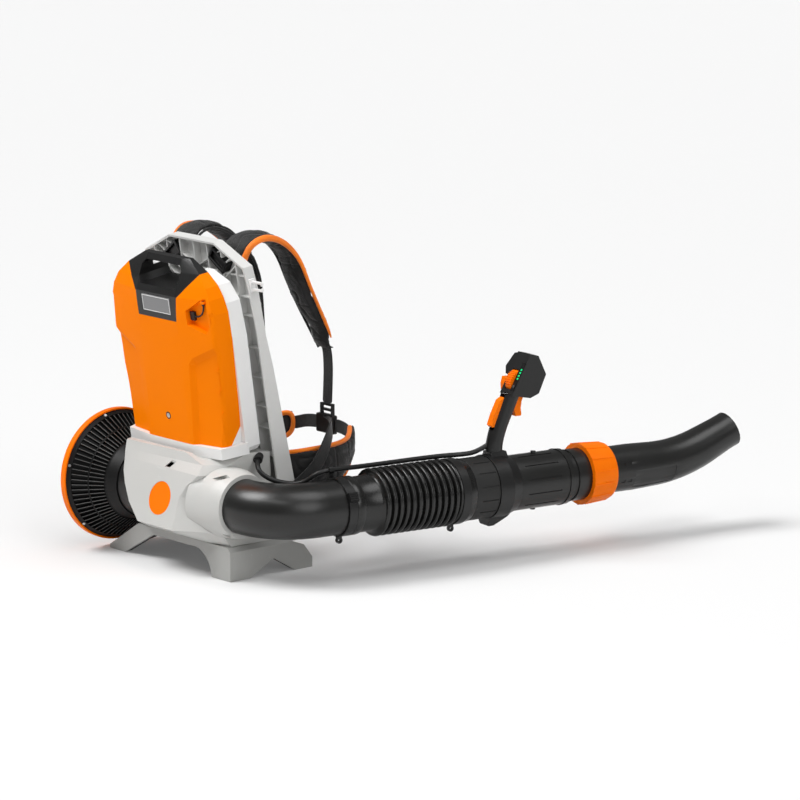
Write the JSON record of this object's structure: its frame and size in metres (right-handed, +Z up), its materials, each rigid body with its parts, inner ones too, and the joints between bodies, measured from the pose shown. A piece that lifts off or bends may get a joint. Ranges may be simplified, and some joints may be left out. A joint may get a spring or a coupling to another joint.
{
  "type": "backpack leaf blower",
  "caption": "Battery backpack leaf blower with a slotted intake funnel, padded harness, ribbed hose, control handle and upturned nozzle.",
  "frame": {"origin": "on the ground under the middle of the whole machine's bounding box", "axes": "+X is the wearer's right, where the air tube is, +Y is the way the wearer faces and the tube points, +Z is up"},
  "size_m": [0.6632, 1.1374, 0.6182],
  "materials": {
    "light_grey_shell": "fine grained, satin",
    "black_shell": "fine grained, satin",
    "black_tube": "smooth, satin",
    "orange_plastic": "smooth, half gloss",
    "orange_cover": "fine grained, satin",
    "black_rubber": "smooth",
    "black_fabric": "woven, padded",
    "black_webbing": "woven webbing",
    "label_grey": "printed plate, blank",
    "dark_display": "glossy",
    "steel": "turned",
    "copper_and_laminate": "varnished",
    "contact_brass": "plain",
    "cell_pack": "wrapped cells",
    "board_green": "lacquered board"
  },
  "bodies": {
    "machine": {"stand_frame": "light_grey_shell", "stand_liner": "black_shell", "fan_housing": "light_grey_shell", "badge_disc": "orange_plastic", "outlet_collar": "light_grey_shell", "intake_cone": "black_shell", "intake_outer_grille": "black_shell", "intake_rim_ring": "orange_plastic", "intake_screws": "steel", "fan_duct": "black_shell", "motor_bearings": "steel", "motor_mount": "black_shell", "motor_stator": "copper_and_laminate", "control_board": "board_green", "battery_dock": "black_shell", "dock_contacts": "contact_brass", "carrying_frame": "light_grey_shell", "strap_anchors": "black_shell", "frame_hook": "light_grey_shell", "shoulder_pad_right": "black_fabric", "shoulder_pad_left": "black_fabric", "strap_webbing": "black_webbing", "strap_adjusters": "black_shell", "hip_belt_right": "black_fabric", "hip_belt_left": "black_fabric", "hip_webbing": "black_webbing", "hip_buckle": "black_shell", "back_pad": "black_fabric", "cable_grommet": "black_rubber", "cable_rear": "black_rubber"},
    "fan": {"fan_rotor": "black_shell", "motor_shaft": "steel"},
    "elbow": {"elbow": "black_tube", "hose_clamp_rear": "black_shell", "cable_clip": "black_shell", "bellows_hose": "black_rubber", "cable_front": "black_rubber"},
    "handle": {"hose_clamp_front": "black_shell", "grip_sleeve": "black_tube", "handle_tube": "black_tube", "handle_collar": "black_shell", "handle_grip": "black_shell", "handle_head": "black_shell", "handle_pins": "steel", "display_panel": "dark_display"},
    "trigger": {"trigger": "orange_plastic"},
    "lockout_lever": {"lockout_lever": "orange_plastic"},
    "thumb_slider": {"thumb_slider": "orange_plastic"},
    "side_lever": {"side_lever": "orange_plastic"},
    "power_button": {"power_button": "black_shell"},
    "coupling_ring": {"coupling_ring": "orange_plastic"},
    "nozzle": {"nozzle": "black_tube"},
    "battery": {"battery_front_shell": "orange_cover", "battery_rear_shell": "light_grey_shell", "battery_handle_insert": "black_shell", "battery_label_plate": "label_grey", "battery_screw": "steel", "battery_cells": "cell_pack"},
    "socket_cap": {"socket_cap": "black_rubber"}
  },
  "joints": [
    {"name": "fan_spin", "type": "hinge", "parent": "machine", "child": "fan", "pos_m": [-0.1806, -0.4438, 0.1355], "axis": [1, 0, 0], "continuous": true},
    {"name": "elbow_swivel", "type": "hinge", "parent": "machine", "child": "elbow", "pos_m": [0.0634, -0.4438, 0.1355], "axis": [1, 0, 0], "range_deg": [-30, 45], "deforming": ["cable_rear"]},
    {"name": "hose_bend", "type": "hinge", "parent": "elbow", "child": "handle", "pos_m": [0.19548, -0.16991, 0.1355], "axis": [0, 0, 1], "range_deg": [-20, 20], "stiffness_Nm_per_rad": 12, "deforming": ["bellows_hose", "cable_front"]},
    {"name": "trigger_pull", "type": "hinge", "parent": "handle", "child": "trigger", "pos_m": [0.22999, 0.07568, 0.3065], "axis": [-0.9903, 0.1392, 0], "range_deg": [0, 12], "stiffness_Nm_per_rad": 0.4, "springref_deg": -5.73},
    {"name": "lockout_press", "type": "hinge", "parent": "handle", "child": "lockout_lever", "pos_m": [0.22512, 0.04102, 0.2925], "axis": [0.9903, -0.1392, 0], "range_deg": [0, 6], "stiffness_Nm_per_rad": 0.4, "springref_deg": -5.73},
    {"name": "thumb_slider_turn", "type": "hinge", "parent": "handle", "child": "thumb_slider", "pos_m": [0.22966, 0.07332, 0.3247], "axis": [0.9903, -0.1392, 0], "range_deg": [-15, 15]},
    {"name": "side_lever_turn", "type": "hinge", "parent": "handle", "child": "side_lever", "pos_m": [0.20914, 0.07105, 0.30812], "axis": [0.9903, -0.1392, 0], "range_deg": [0, 20]},
    {"name": "power_button_press", "type": "slide", "parent": "handle", "child": "power_button", "axis": [0.122, 0.8682, -0.481], "range_m": [0, 0.001], "stiffness_N_per_m": 400, "springref_m": -0.0005},
    {"name": "coupling_ring_turn", "type": "hinge", "parent": "handle", "child": "coupling_ring", "pos_m": [0.2524, 0.23511, 0.1355], "axis": [0.1392, 0.9903, 0], "range_deg": [0, 60]},
    {"name": "nozzle_slide", "type": "slide", "parent": "handle", "child": "nozzle", "axis": [0.1392, 0.9903, 0], "range_m": [-0.04, 0.015]},
    {"name": "battery_lift", "type": "slide", "parent": "machine", "child": "battery", "axis": [0, -0.1564, 0.9877], "range_m": [0, 0.12]},
    {"name": "socket_cap_swing", "type": "hinge", "parent": "battery", "child": "socket_cap", "pos_m": [0.0074, -0.48971, 0.50378], "axis": [0, -0.1564, 0.9877], "range_deg": [0, 100]}
  ]
}
